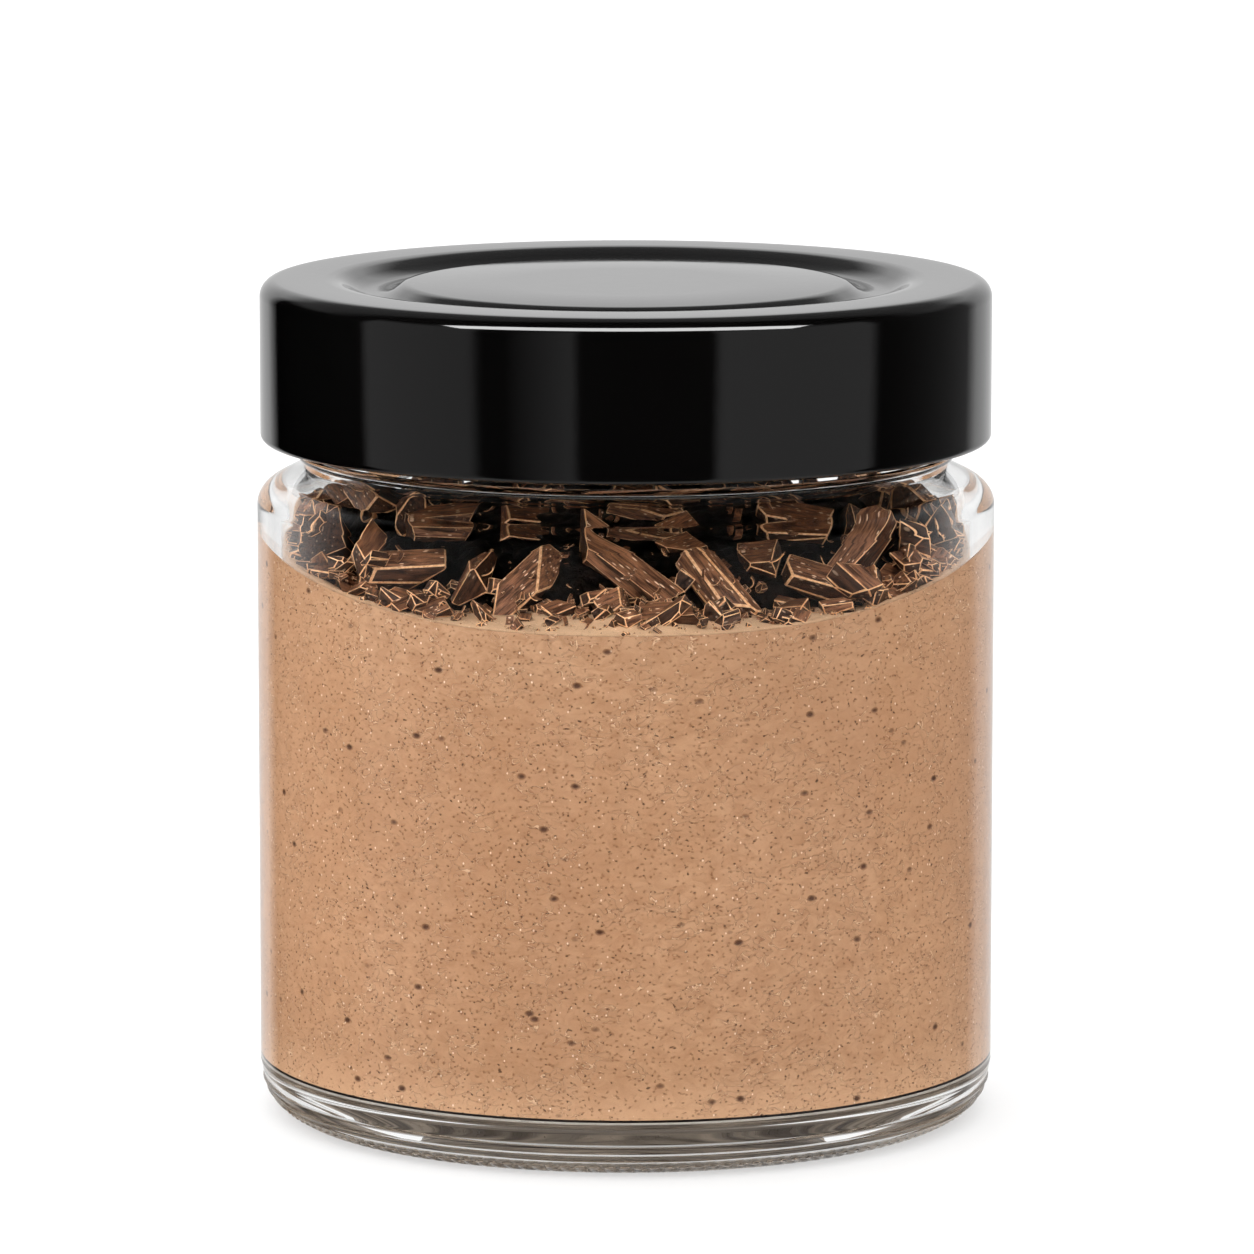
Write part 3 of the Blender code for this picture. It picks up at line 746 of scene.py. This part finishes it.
# The core is painted near black: painted shade between the shards.
core_shade_recipe = Recipe("chocolate_core_painted_shade")
crumbly = core_shade_recipe.noise(core_shade_recipe.place(), 1.1, detail=6.0, roughness=0.7)
core_painted_shade_colour = core_shade_recipe.mix(core_shade_recipe.spread(crumbly, 0.35, 0.7), srgb(4, 2, 2), srgb(40, 22, 14))
core_roughness = core_shade_recipe.spread(crumbly, 0.3, 0.7, 0.45, 0.7)
core_relief = core_shade_recipe.bump(crumbly, 0.5)
dress(core, core_shade_recipe.finish(core_painted_shade_colour, core_roughness, core_relief), "dark_chocolate")

# The cap. Real piece: a deep twist-off cap drawn from tinplate and lacquered glossy black, with a raised
# rim and a pressed panel on top, a rounded corner, a plain skirt and a rolled bottom edge.
lid_low, lid_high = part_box("lid")
LID = lid_high.x / MM
LID_TOP = lid_high.z / MM
LID_BOTTOM = lid_low.z / MM
LID_CORNER = 1.7
SHEET = 0.5
CURL = 0.7
PANEL = LID_TOP - 0.45
CHANNEL = LID_TOP - 1.5
CAP_SIDES = 448
lid_top = [(0.0, PANEL), (12.0, PANEL), (21.6, PANEL)]
lid_top += [(22.2, PANEL - 0.06), (22.6, PANEL - 0.25), (23.2, CHANNEL + 0.4), (23.8, CHANNEL + 0.12)]
lid_top += [(24.6, CHANNEL), (25.6, CHANNEL + 0.04), (26.6, CHANNEL + 0.22), (27.6, LID_TOP - 0.75)]
lid_top += [(28.4, LID_TOP - 0.25), (29.2, LID_TOP - 0.04), (30.2, LID_TOP), (34.0, LID_TOP)]
lid_corner = arc((LID - LID_CORNER, LID_TOP - LID_CORNER), (LID_CORNER, LID_CORNER), 90, 0, 12)
lid_curl = arc((LID - CURL, LID_BOTTOM + CURL), (CURL, CURL), 0, -180, 12)
lid_inside = [(LID - SHEET, LID_BOTTOM + 2.2 * CURL)]
inner_turn = LID_CORNER - SHEET
lid_inside += arc((LID - LID_CORNER, LID_TOP - LID_CORNER), (inner_turn, inner_turn), 0, 90, 6)
lid_inside += [(radius + 0.2, height - SHEET) for radius, height in lid_top[-1:2:-1]]
lid_inside += [(0.0, PANEL - SHEET)]
cap = turned("black_cap", lid_top + lid_corner + lid_curl + lid_inside, CAP_SIDES)

lacquer = Recipe("glossy_black_lacquer")
lacquer.set(IOR=1.5)
orange_peel = lacquer.noise(lacquer.place(), 0.7, detail=2.0)
haze = lacquer.noise(lacquer.place((1, 1, 0.4)), 0.06, detail=3.0)
black = lacquer.mix(haze, (0.0003, 0.0003, 0.0003), (0.0007, 0.0006, 0.0006))
gloss = lacquer.spread(haze, 0.3, 0.7, 0.045, 0.08)
dress(cap, lacquer.finish(black, gloss, lacquer.bump(orange_peel, 0.004)), "black_lacquer", "lid")

# The studio. A pale paper floor, a soft white room that glossy things mirror as a dark room with panels,
# and a lamp for the cap.
bpy.ops.mesh.primitive_plane_add(size=12.0)
floor = bpy.context.object
floor.name = "pale_floor"
paper = Recipe("pale_paper")
paper.set(Roughness=0.9, Specular_IOR_Level=0.2, Emission_Color=(1, 1, 1, 1), Emission_Strength=0.5)
tooth = paper.noise(paper.place(), 0.8, detail=2.0)
paper.finish(paper.mix(tooth, (0.18, 0.18, 0.18), (0.19, 0.19, 0.19)))
bounces = paper.node("ShaderNodeLightPath")
mirrored_once = paper.math("GREATER_THAN", bounces.outputs["Glossy Depth"], 0.5)
not_scattered = paper.math("LESS_THAN", bounces.outputs["Diffuse Depth"], 0.5)
mirrored_once = paper.math("MULTIPLY", mirrored_once, not_scattered)
gone = paper.node("ShaderNodeMixShader")
paper.link(mirrored_once, gone.inputs["Fac"])
paper.link(paper.shader.outputs["BSDF"], gone.inputs[1])
paper.link(paper.node("ShaderNodeBsdfTransparent").outputs["BSDF"], gone.inputs[2])
paper.link(gone.outputs["Shader"], paper.tree.nodes["Material Output"].inputs["Surface"])
floor.data.materials.append(paper.material)
floor.visible_glossy = False

world = bpy.data.worlds.new("soft_studio")
bpy.context.scene.world = world
world.use_nodes = True
sky = world.node_tree
background = sky.nodes["Background"]


def sky_math(operation, *values):
    made = sky.nodes.new("ShaderNodeMath")
    made.operation = operation
    for socket, value in zip(made.inputs, values):
        if isinstance(value, (int, float)):
            socket.default_value = value
        else:
            sky.links.new(value, socket)
    return made.outputs["Value"]


def between(value, low, high, soft):
    """One inside a stretch of degrees, fading to none over soft degrees at both ends."""
    rising = sky.nodes.new("ShaderNodeMapRange")
    falling = sky.nodes.new("ShaderNodeMapRange")
    for ramp, start, end in ((rising, low - soft, low), (falling, high + soft, high)):
        ramp.inputs["From Min"].default_value = start
        ramp.inputs["From Max"].default_value = end
        sky.links.new(value, ramp.inputs["Value"])
    return sky_math("MULTIPLY", rising.outputs["Result"], falling.outputs["Result"])


# What glossy surfaces mirror is a dark room with upright soft panels, by the angle round the jar from the
# front, and a pale wall low behind.
path = sky.nodes.new("ShaderNodeLightPath")
direction = sky.nodes.new("ShaderNodeTexCoord").outputs["Generated"]
split = sky.nodes.new("ShaderNodeSeparateXYZ")
sky.links.new(direction, split.inputs["Vector"])
around = sky_math("ARCTAN2", split.outputs["X"], sky_math("MULTIPLY", split.outputs["Y"], -1.0))
around = sky_math("DEGREES", around)
height = sky_math("DEGREES", sky_math("ARCSINE", split.outputs["Z"]))
PANELS = (
    (-180, 0.84), (-152, 0.78), (-142, 0.0), (-91, 0.0), (-88, 0.45), (-50, 0.4), (-46, 0.0), (-38, 0.0),
    (-17, 0.38), (-14, 0.0), (27, 0.0), (30, 0.5), (82, 0.45), (86, 0.0), (97, 0.02), (135, 0.14),
    (144, 0.72), (180, 0.84),
)
band = sky.nodes.new("ShaderNodeValToRGB")
sky.links.new(sky_math("ADD", sky_math("DIVIDE", around, 360.0), 0.5), band.inputs["Fac"])
while len(band.color_ramp.elements) > 1:
    band.color_ramp.elements.remove(band.color_ramp.elements[0])
for number, (angle, light) in enumerate(PANELS):
    spot = (angle + 180) / 360
    element = band.color_ramp.elements[0] if number == 0 else band.color_ramp.elements.new(spot)
    element.position = spot
    element.color = (light, light, light, 1)
aside = sky_math("ABSOLUTE", around)
outside = sky_math("LESS_THAN", path.outputs["Transmission Depth"], 0.5)
behind = sky_math("MULTIPLY", between(aside, 125, 181, 25), sky_math("SUBTRACT", 1.0, outside))
walls = sky_math("ADD", sky_math("MULTIPLY", band.outputs["Color"], outside), behind)
walls = sky_math("MULTIPLY", walls, between(height, -40, 20, 12))
haze_high = sky_math("MULTIPLY", between(height, 24, 70, 8), between(aside, 120, 181, 20))
haze_high = sky_math("MULTIPLY", haze_high, 0.2)
ground = sky_math("MULTIPLY", between(height, -91, -50, 10), 0.6)
mirrored = sky_math("ADD", walls, sky_math("ADD", haze_high, ground))

# What lights the jar is a white room, a little brighter above and to the left. Plain white shows behind it.
lift = sky_math("MULTIPLY", split.outputs["Z"], 0.4)
lean = sky_math("MULTIPLY", split.outputs["X"], -0.9)
room = sky_math("ADD", sky_math("ADD", lift, lean), 4.1)


def chosen(test, other, mine):
    """Mine where the ray has made at least one bounce of this kind, and else the other."""
    pick = sky.nodes.new("ShaderNodeMix")
    pick.data_type = "FLOAT"
    sky.links.new(sky_math("GREATER_THAN", path.outputs[test], 0.5), pick.inputs["Factor"])
    for socket, value in (("A", other), ("B", mine)):
        if isinstance(value, float):
            pick.inputs[socket].default_value = value
        else:
            sky.links.new(value, pick.inputs[socket])
    return pick.outputs["Result"]


seen = chosen("Diffuse Depth", chosen("Glossy Depth", 1.0, mirrored), room)
sky.links.new(seen, background.inputs["Strength"])
background.inputs["Color"].default_value = (1, 1, 1, 1)
world.cycles.sampling_method = "NONE"

# A wide soft lamp high in front, for the cap alone, draws the bright line along its corner.
lamp = bpy.data.objects.new("cap_lamp", bpy.data.lights.new("cap_lamp", "AREA"))
bpy.context.scene.collection.objects.link(lamp)
LAMP_WIDE = 3.2
LAMP_HIGH = 0.5
LAMP_WATTS = 80.0
LAMP_PLACE = (0.0, -0.95, 1.02)
LAMP_TILT = 42
lamp.data.shape = "RECTANGLE"
lamp.data.size, lamp.data.size_y = LAMP_WIDE, LAMP_HIGH
lamp.data.energy = LAMP_WATTS
lamp.location = LAMP_PLACE
lamp.visible_transmission = False
lamp.rotation_euler = (math.radians(LAMP_TILT), 0, 0)
lit_alone = bpy.data.collections.new("lit by the cap lamp")
lit_alone.objects.link(cap)
lamp.light_linking.receiver_collection = lit_alone

# The camera: a long lens, a little above the jar and turned down to it. Its place is in metres, its turn in
# degrees, the sensor and lens in millimetres, and the sideways shift in pixels of the photograph.
CAMERA_PLACE = (0.0, -0.830, 0.1773)
LOOKS_DOWN = 8.8
SENSOR = 36.0
LENS = 239.4
PHOTO_WIDTH = 1254
PHOTO_SHIFT = 1.2
scene = bpy.context.scene
scene.view_settings.view_transform = "Standard"
camera = bpy.data.objects.new("camera", bpy.data.cameras.new("camera"))
scene.collection.objects.link(camera)
scene.camera = camera
camera.location = CAMERA_PLACE
camera.rotation_euler = (math.radians(90 - LOOKS_DOWN), 0, 0)
camera.data.sensor_width = SENSOR
camera.data.lens = LENS
camera.data.shift_x = PHOTO_SHIFT / PHOTO_WIDTH
camera.data.clip_start = 0.01
